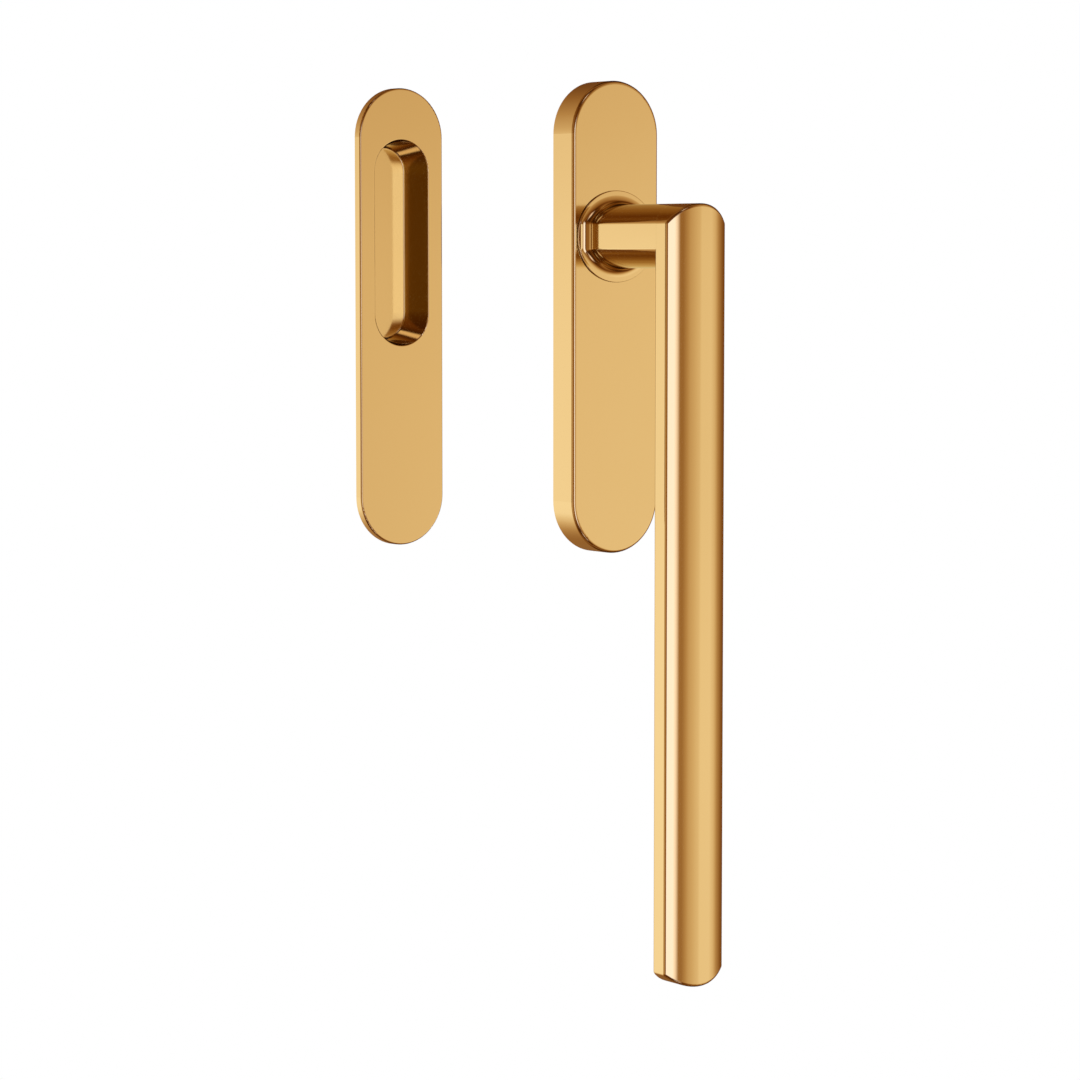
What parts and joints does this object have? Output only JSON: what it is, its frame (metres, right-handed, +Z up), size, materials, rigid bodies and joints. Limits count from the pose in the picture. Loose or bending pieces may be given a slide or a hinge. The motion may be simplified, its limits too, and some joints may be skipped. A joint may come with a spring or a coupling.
{
  "type": "lift and slide door handle",
  "caption": "Lift and slide door handle: long straight grip on a projecting neck, turning half a turn on a rounded backplate, with a matching flush pull beside it.",
  "frame": {"origin": "where the spindle axis meets the face of the door", "axes": "+Z up along the grip and the plates, -Y out of the door towards the hand, +X to the right as seen from in front"},
  "size_m": [0.1628, 0.1132, 0.4247],
  "materials": {
    "brass_plate": "satin polished brass, fine vertical grain, clear lacquer",
    "brass_lever": "bright polished brass, clear lacquer",
    "zinc_base": "die cast zinc alloy, tumbled",
    "steel": "zinc plated steel",
    "nylon": "moulded nylon",
    "foam": "closed cell foam"
  },
  "bodies": {
    "door_set": {"cover_plate": "brass_plate", "base_plate": "zinc_base", "plate_gasket": "foam", "cover_springs": "steel", "mount_screws": "steel", "bearing_bush": "nylon", "glide_ring": "nylon", "pull_body": "brass_plate", "pull_base": "zinc_base", "pull_gasket": "foam", "pull_springs": "steel", "pull_screws": "steel"},
    "lever": {"neck": "brass_lever", "grip_bar": "brass_lever", "joint_screw": "steel", "spindle": "steel", "spindle_grub_screw": "steel", "stop_pin": "steel", "thrust_washer": "steel", "retaining_ring": "steel"}
  },
  "joints": [
    {"name": "lever_turn", "type": "hinge", "parent": "door_set", "child": "lever", "pos_m": [0, 0, 0], "axis": [0, -1, 0], "range_deg": [0, 180]}
  ]
}
